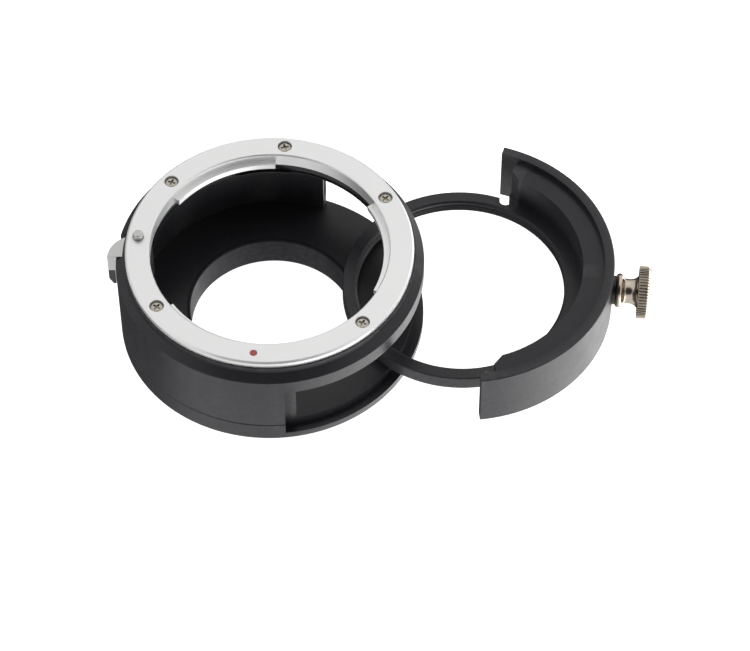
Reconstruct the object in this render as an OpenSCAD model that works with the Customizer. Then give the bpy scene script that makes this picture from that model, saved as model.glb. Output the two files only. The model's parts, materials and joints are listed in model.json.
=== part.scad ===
// Filter drawer for a lens adapter: a round housing with a lens bayonet on top and a
// threaded collar below, and a curved drawer that carries a round filter in and out of
// the light path through a slot in the housing's wall.
// Frame: the origin is the centre of the threaded collar's lower face, +Z runs up the
// optical axis to the lens, and +X points out through the middle of the slot.

/* [Housing] */
// Diameter of the housing's outer wall
body_d = 69.6; // [66:0.1:76]
// Width of the lip outside the platform's step
lip_w = 2.4; // [2:0.1:2.8]
// Thickness of the tongues inside the step
tongue_t = 1.7; // [1.4:0.1:2]
// Height of the seat where the upper housing meets the base
parting_z = 8.55; // [8.3:0.05:9]
// Height of the outer wall's top edge
shoulder_z = 24.45; // [24:0.05:25]
// Height of the seat of the bayonet ring
seat_z = 27.2; // [26.9:0.05:28]
// How far the neck under the bayonet ring is set in from the outer wall
neck_step = 1.9; // [1.6:0.1:2.2]
// Height of the neck
neck_h = 1.3; // [1:0.1:1.6]
// Thickness of the flange that carries the bayonet ring
flange_t = 4.3; // [4:0.1:4.8]
// Chamfer on the outer edges
edge = 0.2; // [0.1:0.05:0.3]

/* [Base] */
// Diameter of the threaded collar, over its thread
collar_d = 42; // [40:0.1:44]
// Height of the collar below the flange face
collar_h = 3.3; // [3:0.1:4]
// Wall between the thread and the light path
collar_wall = 2.2; // [1.8:0.1:2.6]
// Height of the platform that the filter ring slides on
platform_z = 7.6; // [7.3:0.05:7.9]

/* [Slot and drawer] */
// Height of the slot's lower lip
slot_low_z = 5.5; // [5.3:0.05:5.8]
// Height of the slot's upper edge
slot_top_z = 20.6; // [20:0.1:21]
// Half angle of the slot in the outer wall, in degrees
slot_half = 78.3; // [77:0.1:79]
// Half angle between the tongues that lap the drawer's ends, in degrees
tongue_half = 73.5; // [73:0.1:74]
// How far the drawer is drawn out as shown
drawn = 43.5; // [0:0.5:63]
// Angle between the drawer's travel and the middle of the slot, in degrees
stray = 10; // [0:0.5:10]
// Gap between the filter ring and the inner wall when the drawer is shut
ring_gap = 3.5; // [3.3:0.1:4]
// Width of the filter ring
ring_w = 3.15; // [2.8:0.05:3.5]
// Thickness of the filter ring
ring_t = 3.5; // [3:0.1:3.8]
// Step between the ring's outer edge and the drawer's inner wall
drawer_step = 0.5; // [0.3:0.1:0.8]
// How far the inner ledge lies below the drawer's rim
ledge_drop = 1.4; // [1:0.1:2]
// Diameter of the relief left by the cutter at each end
relief_d = 3; // [2.6:0.1:3.2]

/* [Thumb screw] */
// Diameter of the knurled disc
knob_d = 12; // [10:0.5:13]
// Width of the knurled band
knob_w = 1.95; // [1.5:0.05:2.5]
// Number of teeth in the knurl
knob_teeth = 54; // [36:2:60]
// Diameter of the threaded shank
shank_d = 3; // [2.8:0.1:3.2]
// Diameter of the waist behind the disc
waist_d = 6.1; // [5.5:0.1:6.5]
// Distance from the washer to the disc
waist_len = 5.45; // [5:0.05:6]
// Width of the round bead beside the washer
bead_w = 1.7; // [1.4:0.1:2]
// Thickness of the washer
washer_t = 0.75; // [0.5:0.05:1]

/* [Bayonet] */
// How far the bayonet ring is set in from the neck
rim_step = 0.4; // [0.2:0.1:0.6]
// Width of the bayonet ring's flat face
face_w = 5.5; // [5.2:0.1:5.8]
// Thickness of the bayonet ring's plate
plate_t = 1.6; // [1.4:0.05:1.8]
// Depth of the throat's skirt below the face
skirt_h = 3.4; // [3.2:0.1:3.6]
// Thickness of the skirt's wall
skirt_t = 0.95; // [0.8:0.05:1.1]
// How far the lugs reach into the throat
lug_w = 1.3; // [1:0.1:1.5]
// Thickness of the three lugs
lug_t = 1.4; // [1.2:0.1:1.6]
// Angle that each lug covers, in degrees
lug_arc = 56; // [50:1:60]
// Diameter of the bayonet screws' heads
head_d = 3; // [2.6:0.1:3.2]
// Diameter of the index dot
dot_d = 1.7; // [1.4:0.1:2]

/* [Lens release] */
// Diameter of the lock pin
pin_d = 2.4; // [2.2:0.1:2.5]
// How far the pin stands above the bayonet face
pin_proud = 1.3; // [1:0.1:1.6]
// How far the lever moves down
lever_travel = 2; // [1.5:0.1:2.2]
// How far the lever's front corner stands out of the wall
lever_proud = 1.8; // [1.6:0.1:2]
// Half the angle that the lever covers, in degrees
lever_half = 5.6; // [5:0.1:6]
// Height of the lever's bright head
head_h = 4.9; // [4.5:0.1:5.3]
// Height of the black grip below the head
grip_h = 4.9; // [4.5:0.1:5.3]

/* [Fits] */
// Gap between the drawer and the faces that it slides past
slide_gap = 0.15; // [0.1:0.05:0.2]
// Radial gap round the lock pin
pin_gap = 0.08; // [0.05:0.01:0.1]
// Radial gap round screws
screw_gap = 0.05; // [0.03:0.01:0.1]
// Gap between the lever and the wall that it slides past
wall_gap = 0.12; // [0.1:0.02:0.2]
// Gap at each end of the drawer's skin, in degrees
skin_gap = 0.25; // [0.2:0.05:0.4]
// Gap between the drawer's thick part and the tongues, in degrees
core_gap = 2.3; // [2:0.1:2.6]

/* [Hidden] */
$fn = 128;
black = "#2a2a2c";
satin = "#d9d9d9";
nickel = "#b9b2a6";
steel = "#9a9a9a";
dot_red = "#b85a5a";
over = 0.5;

// Radii and heights of the housing, each from the wall or face beside it
body_r = body_d / 2;
platform_r = body_r - lip_w;
inner_r = platform_r - tongue_t;
neck_r = body_r - neck_step;
collar_r = collar_d / 2;
bore_r = collar_r - collar_wall;
face_z = seat_z + plate_t;
flange_low_z = seat_z - flange_t;
skirt_low_z = face_z - skirt_h;

bayonet_r = neck_r - rim_step;
throat_r = bayonet_r - face_w;
skirt_r = throat_r + skirt_t;
flange_r = throat_r + 0.6;
lug_r = throat_r - lug_w;
circle_r = (bayonet_r + throat_r) / 2;
lug_at = [94, -19, -140];

// Bayonet screws are at these angles from the index dot, which faces -Y
dot_at = -90;
screw_at = [dot_at - 50.4, dot_at + 50.4, dot_at + 124.5, dot_at + 180, dot_at - 124.5];
pin_at = 180;
head_top_z = face_z - 0.35;
head_seat_z = head_top_z - 1.05;
screw_r = 0.8;
screw_len = 3.8;
head_gap = 0.15;

spring_at = [100, 240, 350];
spring_screw_at = [60, 200, 290];
spring_circle_r = flange_r + 1;
spring_out_r = spring_circle_r + 1;
spring_in_r = throat_r + 0.3;
spring_open = 8;
leaf_t = 0.3;
leaf_len = 10;
leaf_bow = 0.7;
leaf_w = 0.7;
leaf_foot = 1.6;
small_r = 0.5;
small_head_r = 0.95;

base_screw_at = [100, 140, 220, 260];
base_circle_r = inner_r + 1.9;
base_screw_r = 1;
base_head_r = 1.7;
base_head_h = 1.1;
base_screw_len = 9.5;

// The drawer's skin, thick part and ring, about its own axis when it is shut
skin_r = platform_r + slide_gap;
drawer_low_z = slot_low_z + slide_gap;
drawer_top_z = slot_top_z - slide_gap;
ring_low_z = platform_z + slide_gap;
ring_top_z = ring_low_z + ring_t;
ledge_z = drawer_top_z - ledge_drop;
ring_r = inner_r - ring_gap;
filter_r = ring_r - ring_w;
drawer_in_r = ring_r + drawer_step;
skin_half = slot_half - skin_gap;
core_half = tongue_half - core_gap;
ring_inside = [
    [filter_r + 0.4, ring_top_z],
    [filter_r, ring_top_z - 0.4],
    [filter_r, ring_low_z + 0.5],
    [filter_r + 0.5, ring_low_z]];
corner_deep = 1.9;
corner_in = 0.6;
corner_long = 3;
relief_deep = 1.8;
relief_shift = 0.7;
screw_z = (drawer_low_z + drawer_top_z) / 2;
spot_x = body_r - 0.2;
tip_x = drawer_in_r + 0.5;

// Knob sizes that follow the disc and the waist
knob_r = knob_d / 2;
knob_waist_r = waist_d / 2;
bead_r = bead_w / 2;
washer_r = knob_waist_r + 0.25;
tooth_t = 0.22;
dome_h = 0.8;
dome_w = 0.65;

// Lens release
pin_r = pin_d / 2;
pin_top_z = face_z + pin_proud;
cross_r = 0.65;
lever_top_z = seat_z - neck_h - 0.6;
grip_top_z = lever_top_z - head_h;
grip_low_z = grip_top_z - grip_h;
arm_z = grip_top_z - 2.1;
arm_h = 3.4;
arm_w = 2.4;
arm_x = circle_r + pin_r + 0.05;
tail_r = body_r + wall_gap;
tail_t = 0.3;
grip_in_r = tail_r + tail_t;
pocket_r = body_r - 1.6;
pocket_gap = 0.4;
pin_low_z = arm_z - 1.4;
well_low_z = pin_low_z - 4.1;
boss_r = circle_r - pin_r - 1;
boss_half = 6.5;
// The lever's outer face is a round fin, full at the front and falling back to the wall
fin_r = 6.3;
fin_x = body_r + lever_proud - fin_r;
fin_y = 3.2;
fin_mid_r = fin_x + sqrt(fin_r * fin_r - fin_y * fin_y);
small_head_t = 0.28;
wire_r = 0.2;
spring_turns = 7;

// A ring with a square section, or a sector of one between two angles
module sector(r_in, r_out, z_low, z_high, from, to) {
    rotate([0, 0, from]) rotate_extrude(angle = to - from)
        translate([r_in, z_low]) square([r_out - r_in, z_high - z_low]);
}

// A short cylinder between two heights at a place given by radius and angle
module post(at_r, at, r, z_low, z_high) {
    rotate([0, 0, at]) translate([at_r, 0, z_low]) cylinder(r = r, h = z_high - z_low);
}

// Cross recess of a small screw, cut down from height z
module cross(at_r, at, z, size) {
    rotate([0, 0, at]) translate([at_r, 0, z])
        for (turn = [20, 110]) rotate([0, 0, turn])
            translate([-size / 2, -size / 8, -size / 3]) cube([size, size / 4, size]);
}

// A cylinder that lies along the radius at the lever, from one radius to another
module rod(r, from, to) {
    rotate([0, 0, pin_at]) translate([from, 0, arm_z]) rotate([0, 90, 0]) cylinder(r = r, h = to - from);
}

module base_flange() color(black) difference() {
    rotate_extrude() polygon([
        [bore_r, 0],
        [collar_r - 0.4, 0],
        [collar_r, 0.4],
        [collar_r, collar_h],
        [body_r - 2 * edge, collar_h],
        [body_r, collar_h + 2 * edge],
        [body_r, parting_z - edge],
        [body_r - edge, parting_z],
        [inner_r, parting_z],
        [inner_r, platform_z],
        [bore_r + 0.4, platform_z],
        [bore_r, platform_z - 0.4]]);
    // The platform runs out to its step in the slot, and the lip lies below it
    sector(inner_r - over, platform_r + over, platform_z, parting_z + over, -tongue_half, tongue_half);
    sector(platform_r, body_r + over, slot_low_z, parting_z + over, -slot_half, slot_half);
    for (at = base_screw_at) {
        post(base_circle_r, at, base_screw_r + screw_gap, collar_h - over, parting_z + over);
        post(base_circle_r, at, base_head_r + screw_gap, collar_h - over, collar_h + base_head_h);
    }
}

module upper_housing() color(black) difference() {
    union() {
        rotate_extrude() polygon([
            [inner_r, parting_z],
            [body_r - edge, parting_z],
            [body_r, parting_z + edge],
            [body_r, shoulder_z - edge],
            [body_r - edge, shoulder_z],
            [neck_r, seat_z - neck_h],
            [neck_r, seat_z],
            [skirt_r + screw_gap, seat_z],
            [skirt_r + screw_gap, skirt_low_z],
            [flange_r, skirt_low_z],
            [flange_r, flange_low_z],
            [inner_r, flange_low_z]]);
        // The pin's boss on the inside of the wall
        sector(boss_r, inner_r + over, well_low_z - 1, flange_low_z + over,
               pin_at - boss_half, pin_at + boss_half);
    }
    // The slot: the skin's opening, and the narrower one between the tongues
    sector(platform_r, body_r + over, slot_low_z, slot_top_z, -slot_half, slot_half);
    sector(boss_r, platform_r + over, slot_low_z, slot_top_z, -tongue_half, tongue_half);
    for (at = screw_at)
        post(circle_r, at, screw_r + screw_gap, head_seat_z - screw_len - 0.3, seat_z + over);
    for (at = spring_screw_at)
        post(spring_circle_r, at, small_r + screw_gap, flange_low_z - over, flange_low_z + 1.8);
    for (at = base_screw_at)
        post(base_circle_r, at, base_screw_r + screw_gap, parting_z - over, collar_h + base_screw_len + over);
    post(circle_r, pin_at, pin_r + pin_gap, well_low_z, seat_z + over);
    // Window for the lever's arm, and the pocket that its head slides in
    rotate([0, 0, pin_at]) translate([circle_r, -arm_w / 2 - 0.1, arm_z - arm_h / 2 - lever_travel - 0.2])
        cube([body_r - circle_r + over, arm_w + 0.2, arm_h + lever_travel + 0.4]);
    sector(pocket_r, body_r + over, grip_top_z - lever_travel - 0.2, seat_z + over,
           pin_at - lever_half - pocket_gap, pin_at + lever_half + pocket_gap);
}

module bayonet_ring() color(satin) difference() {
    union() {
        rotate_extrude() polygon([
            [throat_r, skirt_low_z],
            [skirt_r, skirt_low_z],
            [skirt_r, seat_z],
            [bayonet_r, seat_z],
            [bayonet_r, face_z - 0.4],
            [bayonet_r - 0.4, face_z],
            [throat_r + 0.25, face_z],
            [throat_r, face_z - 0.25]]);
        for (at = lug_at)
            sector(lug_r, throat_r + 0.4, skirt_low_z, skirt_low_z + lug_t, at, at + lug_arc);
    }
    for (at = screw_at) {
        post(circle_r, at, screw_r + 2 * screw_gap, seat_z - over, face_z + over);
        post(circle_r, at, head_d / 2 + head_gap, head_seat_z, face_z + over);
    }
    post(circle_r, pin_at, pin_r + pin_gap, seat_z - over, face_z + over);
    post(circle_r, dot_at, dot_d / 2, face_z - 0.5, face_z + over);
}

module index_dot() color(dot_red) post(circle_r, dot_at, dot_d / 2, face_z - 0.5, face_z - 0.05);

// Small pan head screw that holds the bayonet ring down
module bayonet_screw(i) color(steel) difference() {
    rotate([0, 0, screw_at[i - 1]]) translate([circle_r, 0, 0]) rotate_extrude() polygon([
        [0, head_seat_z - screw_len],
        [screw_r, head_seat_z - screw_len],
        [screw_r, head_seat_z],
        [head_d / 2, head_seat_z],
        [head_d / 2, head_top_z - 0.3],
        [head_d / 2 - 0.35, head_top_z],
        [0, head_top_z]]);
    cross(circle_r, screw_at[i - 1], head_top_z, head_d * 0.62);
}

// One leaf of the spring: a bow seen along the radius, joined to the ring at both feet
module leaf() {
    big = (leaf_len * leaf_len / 4 + leaf_bow * leaf_bow) / (2 * leaf_bow);
    difference() {
        union() {
            intersection() {
                translate([0, 0, leaf_bow - big]) rotate([0, 90, 0]) cylinder(r = big + leaf_t, h = leaf_w);
                translate([0, -leaf_len / 2, 0]) cube([leaf_w, leaf_len, leaf_bow + leaf_t]);
            }
            for (side = [-1, 1]) translate([0, side * (leaf_len + leaf_foot) / 2 - leaf_foot / 2 - side * 0.3, 0])
                cube([leaf_w + 1, leaf_foot, leaf_t]);
        }
        translate([-over, 0, leaf_bow - big]) rotate([0, 90, 0]) cylinder(r = big, h = leaf_w + 2 * over);
    }
}

// Stamped spring under the flange, open at the lock pin, with three bowed leaves that press on the lens
module bayonet_spring() color(steel) {
    difference() {
        sector(spring_in_r, spring_out_r, flange_low_z - leaf_t, flange_low_z,
               pin_at + spring_open, pin_at + 360 - spring_open);
        for (at = spring_screw_at)
            post(spring_circle_r, at, small_r + screw_gap, flange_low_z - leaf_t - over, flange_low_z + over);
    }
    for (at = spring_at) rotate([0, 0, at]) translate([throat_r - leaf_w, 0, flange_low_z - leaf_t]) leaf();
}

module spring_screw(i) color(steel)
    rotate([0, 0, spring_screw_at[i - 1]]) translate([spring_circle_r, 0, flange_low_z - leaf_t]) {
        translate([0, 0, -0.5]) cylinder(r = small_head_r, h = 0.5);
        translate([0, 0, -0.1]) cylinder(r = small_r, h = 2);
    }

module base_screw(i) color(steel) difference() {
    rotate([0, 0, base_screw_at[i - 1]]) translate([base_circle_r, 0, collar_h]) {
        cylinder(r = base_head_r, h = base_head_h);
        cylinder(r = base_screw_r, h = base_screw_len);
    }
    rotate([0, 0, base_screw_at[i - 1]]) translate([base_circle_r, 0, collar_h])
        for (turn = [20, 110]) rotate([0, 0, turn])
            translate([-base_screw_r, -0.25, -over]) cube([2 * base_screw_r, 0.5, over + 0.7]);
}

// The fin that bounds the lever's outer face
module fin() {
    rotate([0, 0, pin_at]) translate([fin_x, fin_y, grip_low_z - 1]) cylinder(r = fin_r, h = head_h + grip_h + 2);
}

// Bright lever: a head in the wall's pocket, a tail outside the wall and an arm that
// reaches through the window to the pin
module release_lever() color(satin) difference() {
    intersection() {
        union() {
            rotate([0, 0, pin_at - lever_half]) rotate_extrude(angle = 2 * lever_half) polygon([
                [pocket_r + wall_gap, grip_top_z],
                [tail_r, grip_top_z],
                [tail_r, grip_low_z + 0.4],
                [grip_in_r, grip_low_z + 0.4],
                [grip_in_r, grip_top_z],
                [fin_x + fin_r + 1, grip_top_z],
                [fin_x + fin_r + 1, lever_top_z],
                [pocket_r + wall_gap, lever_top_z]]);
            rotate([0, 0, pin_at]) translate([arm_x, -arm_w / 2, arm_z - arm_h / 2])
                cube([tail_r + tail_t / 2 - arm_x, arm_w, arm_h]);
        }
        fin();
    }
    rod(cross_r + screw_gap, circle_r, grip_in_r + 1);
}

// Black grip screwed on below the lever's head; its lower edge falls away to the wall
module lever_block() color(black) difference() {
    intersection() {
        rotate([0, 0, pin_at - lever_half]) rotate_extrude(angle = 2 * lever_half) polygon([
            [grip_in_r, grip_low_z],
            [body_r + lever_proud - 0.8, grip_low_z],
            [body_r + lever_proud + 0.2, grip_low_z + 2],
            [body_r + lever_proud + 0.2, grip_top_z],
            [grip_in_r, grip_top_z]]);
        fin();
    }
    rod(cross_r + screw_gap, circle_r, body_r + 4);
    rod(small_head_r + 2 * screw_gap, fin_mid_r - small_head_t, body_r + 4);
}

// Screw through the grip and the arm into the cross hole of the pin
module lever_screw() color(steel) difference() {
    union() {
        rod(cross_r, circle_r - 0.9, fin_mid_r - 0.1);
        rod(small_head_r, fin_mid_r - small_head_t, fin_mid_r);
    }
    rotate([0, 0, pin_at]) translate([fin_mid_r - 0.15, -0.12, arm_z - 1.5]) cube([1, 0.24, 3]);
}

// Pin that locks the lens, with a rounded tip and a cross hole for the lever's screw
module lock_pin() color(satin) difference() {
    rotate([0, 0, pin_at]) translate([circle_r, 0, 0]) rotate_extrude() polygon([
        [0, pin_low_z],
        [pin_r, pin_low_z],
        [pin_r, pin_top_z - 0.4],
        [pin_r - 0.15, pin_top_z - 0.12],
        [pin_r - 0.45, pin_top_z],
        [0, pin_top_z]]);
    rod(cross_r + screw_gap, circle_r - 2, circle_r + 2);
}

// Coil spring under the pin, drawn as a stack of turns on a thin sleeve
module pin_spring() color(steel) rotate([0, 0, pin_at]) translate([circle_r, 0, 0]) rotate_extrude()
    union() {
        coil_r = pin_r - wire_r - 0.05;
        pitch = (pin_low_z - well_low_z - 2 * wire_r) / (spring_turns - 1);
        for (i = [0:spring_turns - 1]) translate([coil_r, well_low_z + wire_r + i * pitch])
            polygon([for (a = [0:45:315]) wire_r * [cos(a), sin(a)]]);
        translate([coil_r - wire_r / 4, well_low_z + wire_r])
            square([wire_r / 2, pin_low_z - well_low_z - 2 * wire_r]);
    }

// Everything that slides is modelled where it lies when shut and then drawn out
module drawn_out() {
    translate([drawn * cos(stray), drawn * sin(stray), 0]) children();
}

// Slanted cut at the inner corner of the drawer's end, for the end at the positive angle
module end_corner() {
    rotate([0, 0, core_half]) translate([drawer_in_r, 0, ring_top_z]) linear_extrude(height = slot_top_z - ring_top_z)
        polygon([[-1, 1], [corner_deep, 1], [corner_deep, 0], [-corner_in, -corner_long], [-1, -corner_long]]);
}

// Ring that holds the filter, the curved part that fills the slot behind its skin, and the skin
module drawer_frame() color(black) drawn_out() difference() {
    union() {
        rotate([0, 0, core_half]) rotate_extrude(angle = 360 - 2 * core_half) polygon(concat(ring_inside, [
            [ring_r, ring_low_z],
            [ring_r, ring_top_z - edge],
            [ring_r - edge, ring_top_z]]));
        rotate([0, 0, -core_half]) rotate_extrude(angle = 2 * core_half) polygon(concat(ring_inside, [
            [skin_r + 1, ring_low_z],
            [skin_r + 1, ledge_z],
            [drawer_in_r, ledge_z],
            [drawer_in_r, ring_top_z]]));
        rotate([0, 0, -skin_half]) rotate_extrude(angle = 2 * skin_half) polygon([
            [skin_r, drawer_low_z],
            [body_r - edge, drawer_low_z],
            [body_r, drawer_low_z + edge],
            [body_r, drawer_top_z - edge],
            [body_r - edge, drawer_top_z],
            [skin_r, drawer_top_z]]);
    }
    for (side = [0, 1]) mirror([0, side, 0]) {
        end_corner();
        post(ring_r - relief_deep + relief_d / 2, core_half + relief_shift, relief_d / 2,
             ring_low_z - over, ledge_z + over);
    }
    // Tapped hole for the thumb screw, and the flat that its washer sits on
    translate([drawer_in_r - 1.5, 0, screw_z]) rotate([0, 90, 0])
        cylinder(r = shank_d / 2 + screw_gap, h = body_r - drawer_in_r + 3);
    translate([spot_x, 0, screw_z]) rotate([0, 90, 0]) cylinder(r = washer_r + 0.9, h = 5);
}

module thumb_washer() color(black) drawn_out()
    translate([spot_x, 0, screw_z]) rotate([0, 90, 0]) difference() {
        cylinder(r = washer_r, h = washer_t);
        translate([0, 0, -over]) cylinder(r = shank_d / 2 + 2 * screw_gap, h = washer_t + 2 * over);
    }

// Turned head with a bead, a waist and a knurled disc, on a threaded shank
module thumb_screw() color(nickel) drawn_out() translate([0, 0, screw_z]) rotate([0, 90, 0]) {
    head_x = spot_x + washer_t;
    band_x = head_x + waist_len;
    translate([0, 0, tip_x]) cylinder(d = shank_d, h = head_x - tip_x + over);
    translate([0, 0, head_x]) rotate_extrude() polygon(concat(
        [[0, 0], [knob_waist_r + bead_r / 2, 0]],
        [for (a = [-60:20:60]) [knob_waist_r + bead_r * cos(a), bead_r + bead_r * sin(a)]],
        [[knob_waist_r, bead_w + 0.4],
         [knob_waist_r, waist_len - 1.7],
         [knob_waist_r + 0.45, waist_len - 0.45],
         [knob_r - 0.4, waist_len],
         [0, waist_len]]));
    translate([0, 0, band_x]) linear_extrude(height = knob_w) polygon(
        [for (i = [0:2 * knob_teeth - 1]) let (a = i * 180 / knob_teeth, r = knob_r - (i % 2) * tooth_t)
            [r * cos(a), r * sin(a)]]);
    translate([0, 0, band_x + knob_w])
        cylinder(r1 = knob_r - tooth_t - 0.03, r2 = knob_r - tooth_t - dome_w, h = dome_h);
}

base_flange();
upper_housing();
bayonet_ring();
index_dot();
bayonet_spring();
bayonet_screw(1);  // bayonet_screw_1
bayonet_screw(2);  // bayonet_screw_2
bayonet_screw(3);  // bayonet_screw_3
bayonet_screw(4);  // bayonet_screw_4
bayonet_screw(5);  // bayonet_screw_5
spring_screw(1);  // spring_screw_1
spring_screw(2);  // spring_screw_2
spring_screw(3);  // spring_screw_3
base_screw(1);  // base_screw_1
base_screw(2);  // base_screw_2
base_screw(3);  // base_screw_3
base_screw(4);  // base_screw_4
release_lever();
lever_block();
lever_screw();
lock_pin();
pin_spring();
drawer_frame();
thumb_washer();
thumb_screw();
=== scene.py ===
"""Looks of a filter drawer for a lens adapter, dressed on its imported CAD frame.

The CAD nodes keep their shapes and get procedural finishes. Fine threads and the
knurled thumb screw are built here as numpy surfaces, and a white studio with a
long lens shows the part as the photograph does. All lengths named in
millimetres are turned into metres where meshes and the camera are made.
"""

import json
import logging
import math
from dataclasses import dataclass
from enum import Enum
from typing import Any, Iterable, Sequence

import bpy
import numpy as np
from mathutils import Matrix, Vector

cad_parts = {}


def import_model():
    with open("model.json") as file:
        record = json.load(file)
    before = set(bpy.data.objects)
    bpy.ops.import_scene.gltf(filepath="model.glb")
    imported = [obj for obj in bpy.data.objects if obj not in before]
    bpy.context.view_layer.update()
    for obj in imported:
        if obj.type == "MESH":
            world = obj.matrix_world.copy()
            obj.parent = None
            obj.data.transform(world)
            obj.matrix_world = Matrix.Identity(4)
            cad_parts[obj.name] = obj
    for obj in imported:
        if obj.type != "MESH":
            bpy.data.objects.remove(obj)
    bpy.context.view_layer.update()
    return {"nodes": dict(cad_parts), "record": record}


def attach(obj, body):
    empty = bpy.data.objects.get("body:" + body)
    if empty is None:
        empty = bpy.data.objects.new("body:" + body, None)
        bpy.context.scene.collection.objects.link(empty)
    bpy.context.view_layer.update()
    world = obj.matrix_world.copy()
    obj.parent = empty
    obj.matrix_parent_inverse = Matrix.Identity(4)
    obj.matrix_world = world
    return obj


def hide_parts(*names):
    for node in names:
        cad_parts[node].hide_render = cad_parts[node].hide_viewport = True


log = logging.getLogger("filter_drawer")

MM = 0.001


class Slot(str, Enum):
    """Material slots of the record, one finish each."""

    BLACK = "black_anodised"
    SATIN = "bayonet_satin"
    LEVER = "lever_satin"
    DOT = "dot_red"
    SPRING_BLACK = "spring_black"
    SPRING = "spring_steel"
    SCREW = "screw_steel"
    WASHER = "washer_black"
    NICKEL = "nickel"


class Axis(Enum):
    """Axis that a turned surface was spun about."""

    Z = "Z"
    X = "X"


@dataclass(frozen=True)
class Drawer:
    """Where the drawer and its thumb screw lie as shown, in millimetres."""

    centre_x: float = 42.8391
    centre_y: float = 7.5537
    ring_low: float = 7.75
    filter_r: float = 24.05
    spot_x: float = 34.6
    screw_z: float = 13.05
    tip_x: float = 28.2


@dataclass(frozen=True)
class Finish:
    """How one material slot looks.

    Attributes:
        slot: Material slot that the finish is for.
        colour: Linear base colour.
        metallic: Share of metal in the shader.
        roughness: Mean roughness.
        spread: How far the grain moves the roughness either way.
        specular: Specular level of the shader.
        grain_mm: Size of one grain.
        grain_um: Height of the grain in micrometres.
        lines_mm: Spacing of the turning lines, or zero for none.
        lines_um: Height of the turning lines in micrometres.
        edge_mm: Radius that the edges are rounded to.
        wear: How much paler the edges are, from 0 to 1.
        axis: Axis that the turning lines run round.
        centre_mm: A point on that axis.
    """

    slot: Slot
    colour: tuple[float, float, float]
    metallic: float
    roughness: float
    spread: float = 0.05
    specular: float = 0.5
    grain_mm: float = 0.12
    grain_um: float = 1.5
    lines_mm: float = 0.0
    lines_um: float = 0.0
    edge_mm: float = 0.1
    wear: float = 0.0
    axis: Axis = Axis.Z
    centre_mm: tuple[float, float, float] = (0.0, 0.0, 0.0)


@dataclass(frozen=True)
class Shot:
    """The photograph's camera, in the row frame.

    Attributes:
        position_mm: Where the lens stands.
        right: Unit vector to the right of the picture.
        up: Unit vector up the picture.
        back: Unit vector from the object to the camera.
        lens_mm: Focal length on a sensor 36 mm wide.
    """

    position_mm: tuple[float, float, float]
    right: tuple[float, float, float]
    up: tuple[float, float, float]
    back: tuple[float, float, float]
    lens_mm: float


@dataclass(frozen=True)
class Tent:
    """Brightness of the surroundings, by direction.

    Attributes:
        level: Brightness of the plain white tent.
        lean: Horizontal direction in which the black card at the left stands.
        lean_from: How far a direction leans that way where the card begins to show.
        lean_to: How far it leans where the card is full.
        low_from: Height of a direction where the low cards begin to show.
        low_to: Height where they are full.
        right_from: How far right a direction points where the bright card begins.
        right_to: How far right it points where the bright card is full.
        right_gain: How much brighter than the tent the bright card is, beyond 1.
        card_from: Closeness to the camera's direction where the dark card round it begins.
        card_to: Closeness where that card is full.
        card_dark: Share of the light that a black card takes away.
    """

    level: float = 0.9
    lean: tuple[float, float, float] = (-0.75, 0.65, 0.0)
    lean_from: float = 0.08
    lean_to: float = 0.5
    low_from: float = 0.25
    low_to: float = -0.2
    right_from: float = 0.12
    right_to: float = 0.6
    right_gain: float = 2.0
    card_from: float = 0.7
    card_to: float = 0.92
    card_dark: float = 0.95


@dataclass(frozen=True)
class SoftLight:
    """The large soft light above and behind the part.

    Attributes:
        size_m: Its two sides.
        watts: Its power.
        place_m: Where it hangs.
        aim_m: The point that it faces.
    """

    size_m: tuple[float, float] = (0.5, 0.4)
    watts: float = 0.12
    place_m: tuple[float, float, float] = (0.25, 0.45, 0.65)
    aim_m: tuple[float, float, float] = (0.03, 0.0, 0.015)


DRAWER = Drawer()
TENT = Tent()
SOFT_LIGHT = SoftLight()

FLOOR_REACH_MM = 3000.0
FLOOR_WHITE = 0.9
FLOOR_GLOW = 1.0

# The light path through the floor, in millimetres: what lies within this radius and below this height
BORE_MASK_R = 19.5
BORE_MASK_Z = 7.7
BORE_DULLING = 0.9

SHOT = Shot(
    position_mm=(68.24, -440.79, 588.47),
    right=(0.99515, 0.09836, -0.00155),
    up=(-0.07752, 0.79384, 0.60317),
    back=(0.06056, -0.60012, 0.79761),
    lens_mm=152.87,
)

FINISHES = (
    Finish(Slot.BLACK, (0.019, 0.019, 0.0225), 0.0, 0.34, 0.05, 0.34, 0.11, 2.0, wear=0.35),
    Finish(
        Slot.SATIN, (0.9, 0.9, 0.895), 0.65, 0.34, 0.05, grain_mm=0.3, grain_um=0.5,
        lines_mm=0.16, lines_um=0.7, edge_mm=0.15,
    ),
    Finish(Slot.LEVER, (0.55, 0.55, 0.54), 1.0, 0.3, 0.05, grain_mm=0.2, grain_um=1.0),
    Finish(Slot.DOT, (0.42, 0.10, 0.09), 0.0, 0.5, 0.06, grain_mm=0.1, grain_um=3.0),
    Finish(Slot.SPRING_BLACK, (0.02, 0.02, 0.021), 0.6, 0.35, 0.06, edge_mm=0.04),
    Finish(Slot.SPRING, (0.45, 0.45, 0.45), 1.0, 0.3, 0.05, edge_mm=0.03),
    Finish(Slot.SCREW, (0.5, 0.47, 0.42), 1.0, 0.26, 0.06, edge_mm=0.06, wear=0.2),
    Finish(Slot.WASHER, (0.012, 0.012, 0.012), 0.0, 0.3, 0.04),
    Finish(
        Slot.NICKEL, (0.56, 0.49, 0.41), 1.0, 0.17, 0.05, grain_um=0.4,
        lines_mm=0.1, lines_um=0.6, edge_mm=0.06, axis=Axis.X,
        centre_mm=(0.0, DRAWER.centre_y, DRAWER.screw_z),
    ),
)


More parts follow.
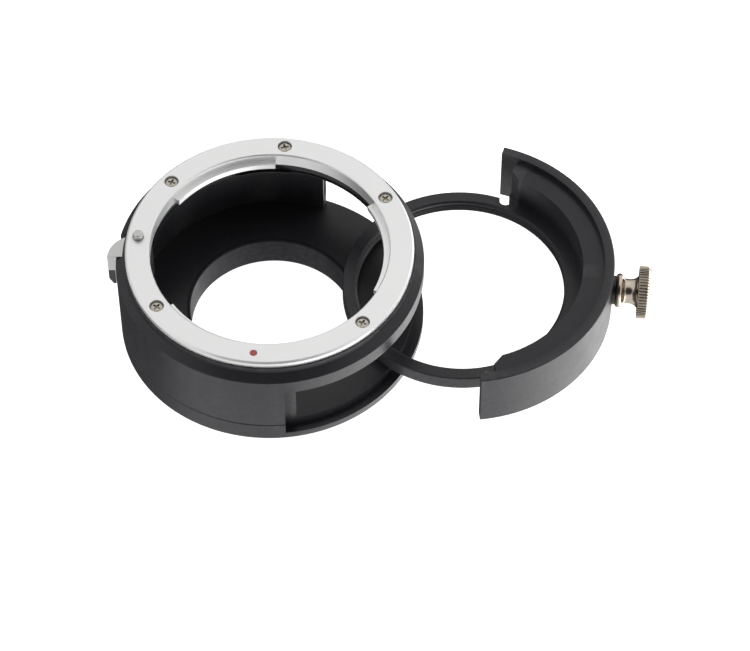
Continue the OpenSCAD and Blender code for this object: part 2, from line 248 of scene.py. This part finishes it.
class Graph:
    """A node tree with short calls to add and join nodes."""

    def __init__(self, tree: bpy.types.NodeTree) -> None:
        """Wraps a node tree and clears it.

        Args:
            tree: Tree to fill.
        """
        self.tree = tree
        tree.nodes.clear()

    def add(self, kind: str, inputs: dict[Any, Any] | None = None, **settings: Any) -> bpy.types.Node:
        """Adds a node.

        Args:
            kind: Type of the node, without the ShaderNode prefix.
            inputs: Value or source socket for each input, by name or index.
            **settings: Attributes to set on the node.

        Returns:
            The new node.
        """
        prefix = "" if kind.startswith("Node") else "ShaderNode"
        node = self.tree.nodes.new(prefix + kind)
        for name, value in settings.items():
            setattr(node, name, value)
        for key, value in (inputs or {}).items():
            if isinstance(value, bpy.types.NodeSocket):
                self.tree.links.new(value, node.inputs[key])
            else:
                node.inputs[key].default_value = value
        return node

    def math(self, operation: str, a: Any, b: Any = 0.0) -> bpy.types.NodeSocket:
        """Adds a Math node.

        Args:
            operation: Name of the operation.
            a: First value or socket.
            b: Second value or socket.

        Returns:
            The result's socket.
        """
        return self.add("Math", {0: a, 1: b}, operation=operation).outputs[0]

    def dot(self, a: bpy.types.NodeSocket, b: Sequence[float]) -> bpy.types.NodeSocket:
        """Adds a dot product.

        Args:
            a: Socket of the first vector.
            b: Second vector.

        Returns:
            The product's socket.
        """
        return self.add("VectorMath", {0: a, 1: b}, operation="DOT_PRODUCT").outputs["Value"]

    def fade(self, value: bpy.types.NodeSocket, start: float, end: float) -> bpy.types.NodeSocket:
        """Adds a smooth fade from 0 to 1.

        Args:
            value: Socket to fade by.
            start: Value that gives 0.
            end: Value that gives 1.

        Returns:
            The fade's socket.
        """
        limits = {"Value": value, "From Min": start, "From Max": end}
        return self.add("MapRange", limits, interpolation_type="SMOOTHSTEP").outputs[0]

    def object_parts(self) -> Any:
        """Splits the object's own coordinates.

        Returns:
            The outputs X, Y and Z.
        """
        return self.add("SeparateXYZ", {0: self.add("TexCoord").outputs["Object"]}).outputs


class NodeGroups:
    """Node groups that the finishes share."""

    def __init__(self) -> None:
        """Builds the groups."""
        self.grain = self._grain()
        self.lines = {axis: self._lines(axis) for axis in Axis}
        self.wear = self._wear()
        self.bore = self._bore()

    @staticmethod
    def _new(
        name: str, inputs: Iterable[tuple[str, str]], outputs: Iterable[tuple[str, str]]
    ) -> tuple[Graph, Any, Any]:
        """Makes an empty group.

        Args:
            name: Name of the group.
            inputs: Name and socket type of each input.
            outputs: Name and socket type of each output.

        Returns:
            The group's graph, its input node and its output node.
        """
        tree = bpy.data.node_groups.new(name, "ShaderNodeTree")
        for label, kind in inputs:
            tree.interface.new_socket(label, in_out="INPUT", socket_type=f"NodeSocket{kind}")
        for label, kind in outputs:
            tree.interface.new_socket(label, in_out="OUTPUT", socket_type=f"NodeSocket{kind}")
        graph = Graph(tree)
        return graph, graph.add("NodeGroupInput"), graph.add("NodeGroupOutput")

    def _grain(self) -> bpy.types.NodeTree:
        """Fine blasted grain with slow clouds in it, as a height from 0 to 1.

        Returns:
            The group.
        """
        results = [("Height", "Float"), ("Cloud", "Float")]
        graph, source, sink = self._new("blasted_grain", [("Scale", "Float")], results)
        place = graph.add("TexCoord").outputs["Object"]
        fine = graph.add("TexNoise", {"Vector": place, "Scale": source.outputs["Scale"], "Detail": 3.0})
        slow = graph.add("TexNoise", {"Vector": place, "Scale": 160.0, "Detail": 4.0, "Roughness": 0.6})
        graph.tree.links.new(fine.outputs[0], sink.inputs["Height"])
        graph.tree.links.new(slow.outputs[0], sink.inputs["Cloud"])
        return graph.tree

    def _lines(self, axis: Axis) -> bpy.types.NodeTree:
        """Lines left by the lathe, as a height from 0 to 1 that changes away from the axis and along it.

        Args:
            axis: Axis that the surface was turned about.

        Returns:
            The group.
        """
        name = f"turned_lines_{axis.value.lower()}"
        given = [("Centre", "Vector"), ("Scale", "Float")]
        graph, source, sink = self._new(name, given, [("Height", "Float")])
        place = graph.add("TexCoord").outputs["Object"]
        away = graph.add("VectorMath", {0: place, 1: source.outputs["Centre"]}, operation="SUBTRACT")
        parts = graph.add("SeparateXYZ", {0: away.outputs[0]}).outputs
        across = [parts[letter] for letter in "XYZ" if letter != axis.value]
        along = parts[axis.value]
        squares = [graph.math("MULTIPLY", side, side) for side in across]
        radius = graph.math("SQRT", graph.math("ADD", *squares))
        spot = graph.math("ADD", radius, along)
        noise = graph.add(
            "TexNoise", {"W": spot, "Scale": source.outputs["Scale"], "Detail": 4.0}, noise_dimensions="1D"
        )
        graph.tree.links.new(noise.outputs[0], sink.inputs["Height"])
        return graph.tree

    def _bore(self) -> bpy.types.NodeTree:
        """Mask of the light path through the floor, which the photograph shows duller than the rest.

        Returns:
            The group.
        """
        graph, _, sink = self._new("light_path", [], [("Mask", "Float")])
        parts = graph.object_parts()
        squares = [graph.math("MULTIPLY", parts[letter], parts[letter]) for letter in "XY"]
        radius = graph.math("SQRT", graph.math("ADD", *squares))
        inside = graph.math("LESS_THAN", radius, BORE_MASK_R * MM)
        below = graph.math("LESS_THAN", parts["Z"], BORE_MASK_Z * MM)
        graph.tree.links.new(graph.math("MULTIPLY", inside, below), sink.inputs["Mask"])
        return graph.tree

    def _wear(self) -> bpy.types.NodeTree:
        """Mask of the outer edges, broken up by noise.

        Returns:
            The group.
        """
        graph, source, sink = self._new("edge_wear", [("Amount", "Float")], [("Mask", "Float")])
        bend = graph.add("NewGeometry").outputs["Pointiness"]
        place = graph.add("TexCoord").outputs["Object"]
        patch = graph.add("TexNoise", {"Vector": place, "Scale": 900.0, "Detail": 2.0}).outputs[0]
        sharp = graph.add("MapRange", {"Value": bend, "From Min": 0.53, "From Max": 0.6}).outputs[0]
        mixed = graph.math("MULTIPLY", sharp, patch)
        graph.tree.links.new(graph.math("MULTIPLY", mixed, source.outputs["Amount"]), sink.inputs["Mask"])
        return graph.tree


class Finisher:
    """Makes the materials and puts them on the pieces."""

    def __init__(self, finishes: Iterable[Finish]) -> None:
        """Makes one material for each finish.

        Args:
            finishes: The finishes to make.
        """
        self.groups = NodeGroups()
        self.materials = {finish.slot: self._make(finish) for finish in finishes}

    def _make(self, finish: Finish) -> bpy.types.Material:
        """Makes a finish's material.

        Args:
            finish: How the material looks.

        Returns:
            The material.
        """
        material = bpy.data.materials.new(finish.slot.value)
        material.use_nodes = True
        graph = Graph(material.node_tree)
        grain = graph.add("Group", node_tree=self.groups.grain)
        grain.inputs["Scale"].default_value = 1.0 / (finish.grain_mm * MM)
        normal = graph.add("Bevel", {"Radius": finish.edge_mm * MM}, samples=4).outputs[0]
        normal = self._bump(graph, grain.outputs["Height"], finish.grain_um, normal)
        if finish.lines_um > 0:
            lines = graph.add("Group", node_tree=self.groups.lines[finish.axis])
            lines.inputs["Centre"].default_value = [value * MM for value in finish.centre_mm]
            lines.inputs["Scale"].default_value = 1.0 / (finish.lines_mm * MM)
            normal = self._bump(graph, lines.outputs["Height"], finish.lines_um, normal)
        rough = graph.add(
            "MapRange",
            {
                "Value": grain.outputs["Cloud"],
                "From Min": 0.3,
                "From Max": 0.7,
                "To Min": finish.roughness - finish.spread,
                "To Max": finish.roughness + finish.spread,
            },
        )
        wear = graph.add("Group", node_tree=self.groups.wear)
        wear.inputs["Amount"].default_value = finish.wear
        pale = tuple(min(1.0, channel * 1.2 + 0.12) for channel in finish.colour)
        tone = graph.add("Mix", data_type="RGBA")
        graph.tree.links.new(wear.outputs["Mask"], tone.inputs[0])
        tone.inputs[6].default_value = (*finish.colour, 1.0)
        tone.inputs[7].default_value = (*pale, 1.0)
        shader = graph.add(
            "BsdfPrincipled",
            {"Base Color": tone.outputs[2], "Roughness": rough.outputs[0], "Normal": normal},
        )
        shader.inputs["Metallic"].default_value = finish.metallic
        shader.inputs["Specular IOR Level"].default_value = finish.specular
        if finish.slot is Slot.BLACK:
            dull = graph.add("Group", node_tree=self.groups.bore)
            gloss = graph.math("SUBTRACT", 1.0, graph.math("MULTIPLY", dull.outputs["Mask"], BORE_DULLING))
            specular = graph.math("MULTIPLY", gloss, finish.specular)
            graph.tree.links.new(specular, shader.inputs["Specular IOR Level"])
        graph.add("OutputMaterial", {"Surface": shader.outputs[0]})
        return material

    @staticmethod
    def _bump(
        graph: Graph, height: bpy.types.NodeSocket, micrometres: float, normal: bpy.types.NodeSocket
    ) -> bpy.types.NodeSocket:
        """Adds a bump of a real height.

        Args:
            graph: Material's graph.
            height: Height from 0 to 1.
            micrometres: What a height of 1 stands for.
            normal: Normal that the bump builds on.

        Returns:
            The new normal's socket.
        """
        bump = graph.add("Bump", {"Height": height, "Normal": normal})
        bump.inputs["Strength"].default_value = 1.0
        bump.inputs["Distance"].default_value = micrometres * 1e-6
        return bump.outputs[0]

    def dress(self, obj: bpy.types.Object, slot: Slot) -> None:
        """Puts a finish on a piece.

        Args:
            obj: The piece.
            slot: Which finish it takes.
        """
        material = self.materials[slot]
        if not obj.material_slots:
            obj.data.materials.append(material)
        for holder in obj.material_slots:
            holder.link = "OBJECT"
            holder.material = material
        for polygon in obj.data.polygons:
            polygon.use_smooth = True


def mesh_object(name: str, points_mm: np.ndarray, faces: Sequence[Sequence[int]]) -> bpy.types.Object:
    """Makes a mesh object at the origin.

    Args:
        name: Name of the object.
        points_mm: One row for each vertex, in millimetres.
        faces: Vertex numbers of each face.

    Returns:
        The object, linked to the scene.
    """
    mesh = bpy.data.meshes.new(name)
    mesh.from_pydata((points_mm * MM).tolist(), [], faces)
    mesh.validate()
    mesh.update()
    obj = bpy.data.objects.new(name, mesh)
    bpy.context.scene.collection.objects.link(obj)
    return obj


def grid_faces(rows: int, columns: int, closed: bool) -> list[tuple[int, int, int, int]]:
    """Quads between the points of a grid that is stored row by row.

    Args:
        rows: Number of rows.
        columns: Number of points in a row.
        closed: Whether each row's last point joins its first.

    Returns:
        The faces.
    """
    across = columns if closed else columns - 1
    faces = []
    for row in range(rows - 1):
        low, high = row * columns, (row + 1) * columns
        for left in range(across):
            right = (left + 1) % columns
            faces.append((low + left, low + right, high + right, high + left))
    return faces


@dataclass(frozen=True)
class Thread:
    """A fine thread on a round wall, about +Z.

    Attributes:
        name: Name of the piece.
        centre_mm: Centre of the thread's axis at its lower end.
        root_r: Radius at the bottom of the grooves.
        crest_r: Radius at the top of the ridges.
        length: Length along the axis.
        pitch: Distance from one ridge to the next.
    """

    name: str
    centre_mm: tuple[float, float, float]
    root_r: float
    crest_r: float
    length: float
    pitch: float

    def build(self) -> bpy.types.Object:
        """Builds the thread as one winding surface.

        Returns:
            The thread's object.
        """
        per_turn = 144
        turns = self.length / self.pitch - 1
        steps = int(turns * per_turn) + 1
        t = np.linspace(0, turns, steps)
        fade = np.clip(np.minimum(t, turns - t) * 4, 0, 1)
        crest = self.root_r + (self.crest_r - self.root_r) * fade
        angle = t * 2 * math.pi
        offsets = (0.0, 0.42, 0.58, 1.0)
        radii = (np.full(steps, self.root_r), crest, crest, np.full(steps, self.root_r))
        columns = [
            np.c_[radius * np.cos(angle), radius * np.sin(angle), (t + offset) * self.pitch]
            for radius, offset in zip(radii, offsets)
        ]
        points = np.stack(columns, axis=1).reshape(-1, 3) + np.array(self.centre_mm)
        return mesh_object(self.name, points, grid_faces(steps, len(offsets), closed=False))


@dataclass(frozen=True)
class ThumbScrew:
    """The turned and knurled thumb screw, about +X.

    Attributes:
        seat_x: Where its face meets the washer, from the drawer's centre.
        teeth: Number of teeth in the knurl.
        tooth_depth: Depth of the knurl.
    """

    seat_x: float = DRAWER.spot_x + 0.75
    teeth: int = 54
    tooth_depth: float = 0.32

    PROFILE = (
        (0.0, 1.6, 0), (0.0, 3.1, 0), (0.06, 3.4, 0), (0.3, 3.74, 0), (0.7, 3.92, 0), (1.0, 3.92, 0),
        (1.4, 3.74, 0), (1.7, 3.4, 0), (1.9, 3.08, 0), (2.1, 2.9, 0), (2.5, 2.82, 0), (3.3, 2.8, 0),
        (3.8, 2.88, 0), (4.3, 3.06, 0), (4.7, 3.32, 0), (5.0, 3.62, 0), (5.06, 3.8, 0), (5.1, 4.6, 0),
        (5.12, 5.7, 0), (5.17, 5.86, 0.3), (5.24, 5.97, 1), (5.4, 6.0, 1), (7.1, 6.0, 1), (7.24, 5.97, 1),
        (7.32, 5.84, 0.3), (7.42, 5.66, 0), (7.75, 5.36, 0), (7.98, 5.1, 0), (8.1, 4.7, 0), (8.17, 3.4, 0),
        (8.22, 1.7, 0), (8.25, 0.02, 0),
    )

    def build(self) -> bpy.types.Object:
        """Builds the screw with its shank.

        Returns:
            The screw's object.
        """
        shank = DRAWER.tip_x - self.seat_x
        start = ((shank, 0.02, 0), (shank, 1.2, 0), (shank + 0.3, 1.5, 0), (-0.01, 1.5, 0))
        rows = np.array(start + self.PROFILE)
        columns = self.teeth * 10
        angle = np.arange(columns) * 2 * math.pi / columns
        wave = np.abs((angle * self.teeth / (2 * math.pi)) % 1 * 2 - 1)
        groove = np.clip(wave * 1.5 - 0.35, 0, 1) * self.tooth_depth
        radius = rows[:, 1:2] - rows[:, 2:3] * groove[None]
        x = np.repeat(rows[:, :1], columns, axis=1)
        points = np.stack([x, radius * np.cos(angle), radius * np.sin(angle)], axis=-1).reshape(-1, 3)
        centre = (DRAWER.centre_x + self.seat_x, DRAWER.centre_y, DRAWER.screw_z)
        faces = grid_faces(len(rows), columns, closed=True)
        return mesh_object("thumb_screw_turned", points + np.array(centre), faces)


class Studio:
    """Floor, light and camera."""

    def build(self) -> None:
        """Makes the studio."""
        self._floor()
        self._world()
        self._lights()
        self._camera()

    @staticmethod
    def _floor() -> None:
        """A plain white floor, left out of reflections so that they show the tent's cards."""
        reach = FLOOR_REACH_MM
        points = np.array([(-reach, -reach, 0), (reach, -reach, 0), (reach, reach, 0), (-reach, reach, 0)])
        floor = mesh_object("floor", points, [(0, 1, 2, 3)])
        floor.visible_glossy = False
        material = bpy.data.materials.new("floor_white")
        material.use_nodes = True
        graph = Graph(material.node_tree)
        shader = graph.add("BsdfPrincipled", {"Base Color": (*[FLOOR_WHITE] * 3, 1), "Roughness": 0.9})
        shader.inputs["Emission Color"].default_value = (1, 1, 1, 1)
        shader.inputs["Emission Strength"].default_value = FLOOR_GLOW
        graph.add("OutputMaterial", {"Surface": shader.outputs[0]})
        floor.data.materials.append(material)

    @staticmethod
    def _world() -> None:
        """White surroundings with dark cards at the camera and low left, and a bright card low right."""
        world = bpy.data.worlds.new("tent")
        world.use_nodes = True
        bpy.context.scene.world = world
        graph = Graph(world.node_tree)
        way = graph.add("TexCoord").outputs["Generated"]
        parts = graph.add("SeparateXYZ", {0: way}).outputs
        low = graph.fade(parts["Z"], TENT.low_from, TENT.low_to)
        side = graph.fade(graph.dot(way, TENT.lean), TENT.lean_from, TENT.lean_to)
        card = graph.fade(graph.dot(way, SHOT.back), TENT.card_from, TENT.card_to)
        dark = graph.math("MAXIMUM", graph.math("MULTIPLY", side, low), card)
        limits = {"From Min": TENT.right_from, "From Max": TENT.right_to, "To Max": TENT.right_gain}
        right = graph.add("MapRange", {"Value": parts["X"], **limits}).outputs[0]
        extra = graph.math("MULTIPLY", right, low)
        left_over = graph.math("SUBTRACT", 1.0, graph.math("MULTIPLY", dark, TENT.card_dark))
        level = graph.math("MULTIPLY", left_over, TENT.level)
        level = graph.math("MULTIPLY", level, graph.math("ADD", extra, 1.0))
        back = graph.add("Background", {"Color": (1, 1, 1, 1), "Strength": level})
        graph.add("OutputWorld", {"Surface": back.outputs[0]})

    @staticmethod
    def _lights() -> None:
        """A large soft light above and behind the part, which the bright ring reflects."""
        data = bpy.data.lights.new("soft_back", "AREA")
        data.shape = "RECTANGLE"
        data.size, data.size_y = SOFT_LIGHT.size_m
        data.energy = SOFT_LIGHT.watts
        light = bpy.data.objects.new("soft_back", data)
        bpy.context.scene.collection.objects.link(light)
        light.location = SOFT_LIGHT.place_m
        aim = Vector(SOFT_LIGHT.aim_m) - light.location
        light.rotation_euler = aim.to_track_quat("-Z", "Y").to_euler()

    @staticmethod
    def _camera() -> None:
        """The photograph's camera."""
        data = bpy.data.cameras.new("photo_camera")
        data.sensor_fit = "HORIZONTAL"
        data.sensor_width = 36.0
        data.lens = SHOT.lens_mm
        data.clip_start, data.clip_end = 0.01, 20.0
        camera = bpy.data.objects.new("photo_camera", data)
        bpy.context.scene.collection.objects.link(camera)
        axes = Matrix((SHOT.right, SHOT.up, SHOT.back)).transposed().to_4x4()
        camera.matrix_world = Matrix.Translation(Vector(SHOT.position_mm) * MM) @ axes
        bpy.context.scene.camera = camera


def main() -> None:
    """Builds the scene."""
    logging.basicConfig(level=logging.INFO, format="%(name)s: %(message)s")
    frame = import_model()
    scene = bpy.context.scene
    scene.view_settings.view_transform = "Standard"

    finisher = Finisher(FINISHES)
    for part in frame["record"]["subparts"]:
        finisher.dress(frame["nodes"][part["node"]], Slot(part["material_slot"]))
    log.info("dressed %d nodes", len(frame["nodes"]))

    filter_place = (DRAWER.centre_x, DRAWER.centre_y, DRAWER.ring_low + 0.5)
    threads = (
        (Thread("collar_thread", (0, 0, 0.35), 20.98, 21.2, 2.3, 0.75), Slot.BLACK, "housing"),
        (
            Thread("filter_thread", filter_place, DRAWER.filter_r + 0.02, DRAWER.filter_r - 0.3, 2.6, 0.6),
            Slot.BLACK,
            "drawer",
        ),
    )
    for thread, slot, body in threads:
        piece = thread.build()
        finisher.dress(piece, slot)
        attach(piece, body)

    screw = ThumbScrew().build()
    finisher.dress(screw, Slot.NICKEL)
    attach(screw, "knob")
    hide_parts("thumb_screw")

    Studio().build()


if __name__ == "__main__":
    main()
